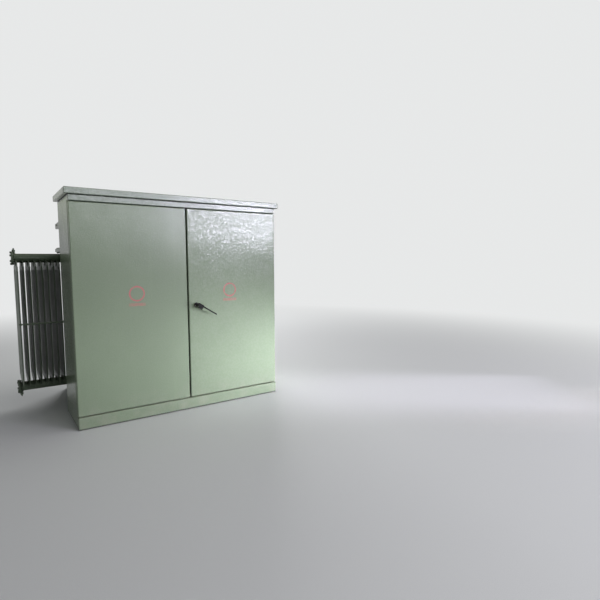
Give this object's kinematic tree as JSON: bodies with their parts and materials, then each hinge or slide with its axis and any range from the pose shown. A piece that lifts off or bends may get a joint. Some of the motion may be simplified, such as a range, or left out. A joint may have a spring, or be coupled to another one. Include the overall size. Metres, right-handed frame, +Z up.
{
  "type": "pad-mounted power transformer",
  "caption": "Pad-mounted three-phase power transformer: a cable cabinet with hinged front doors ahead of an oil tank with panel radiators on both sides.",
  "frame": {"origin": "on the floor under the middle of the tank, on the underside of the base's middle cross member", "axes": "+X to the right as one faces the doors, +Y to the rear, +Z up"},
  "size_m": [2.4806, 1.4853, 1.8673],
  "materials": {
    "green_paint": "gloss with orange peel",
    "grey_green_paint": "gloss with orange peel",
    "black_plastic": "satin",
    "resin": "satin",
    "porcelain": "glazed, with a tinned flat terminal"
  },
  "bodies": {
    "root": {"back_panel": "green_paint", "base_frame": "green_paint", "cabinet_roof": "grey_green_paint", "cabinet_wall_left": "green_paint", "cabinet_wall_right": "green_paint", "compartment_barrier": "grey_green_paint", "front_sill": "green_paint", "header_rail": "grey_green_paint", "hood_box": "green_paint", "hood_end_left": "green_paint", "hood_end_right": "green_paint", "hood_roof": "green_paint", "hv_bushing_1": "resin", "hv_bushing_2": "resin", "hv_bushing_3": "resin", "lv_bushing_1": "porcelain", "lv_bushing_2": "porcelain", "lv_bushing_3": "porcelain", "lv_bushing_4": "porcelain", "radiator_left_bottom_header": "green_paint", "radiator_left_plate_1": "green_paint", "radiator_left_plate_2": "green_paint", "radiator_left_plate_3": "green_paint", "radiator_left_plate_4": "green_paint", "radiator_left_plate_5": "green_paint", "radiator_left_plate_6": "green_paint", "radiator_left_plate_7": "green_paint", "radiator_left_plate_8": "green_paint", "radiator_left_tie_rod": "green_paint", "radiator_left_top_header": "green_paint", "radiator_right_bottom_header": "green_paint", "radiator_right_plate_1": "green_paint", "radiator_right_plate_2": "green_paint", "radiator_right_plate_3": "green_paint", "radiator_right_plate_4": "green_paint", "radiator_right_plate_5": "green_paint", "radiator_right_plate_6": "green_paint", "radiator_right_plate_7": "green_paint", "radiator_right_plate_8": "green_paint", "radiator_right_tie_rod": "green_paint", "radiator_right_top_header": "green_paint", "tank_body": "green_paint", "tank_lid": "green_paint"},
    "left_door": {"door_left": "green_paint", "door_left_stiffener": "green_paint"},
    "right_door": {"door_right": "green_paint", "door_right_stiffener": "green_paint", "handle_plate": "black_plastic"},
    "handle": {"door_handle": "black_plastic"}
  },
  "joints": [
    {"name": "left_door_hinge", "type": "hinge", "parent": "root", "child": "left_door", "pos_m": [-0.885, -0.9503, 0.105], "axis": [0, 0, -1], "range_deg": [0, 110]},
    {"name": "right_door_hinge", "type": "hinge", "parent": "root", "child": "right_door", "pos_m": [0.885, -0.9503, 0.105], "axis": [0, 0, 1], "range_deg": [0, 110]},
    {"name": "handle_turn", "type": "hinge", "parent": "right_door", "child": "handle", "pos_m": [0.084, -0.9753, 0.928], "axis": [0, 1, 0], "range_deg": [-32, 58]}
  ]
}
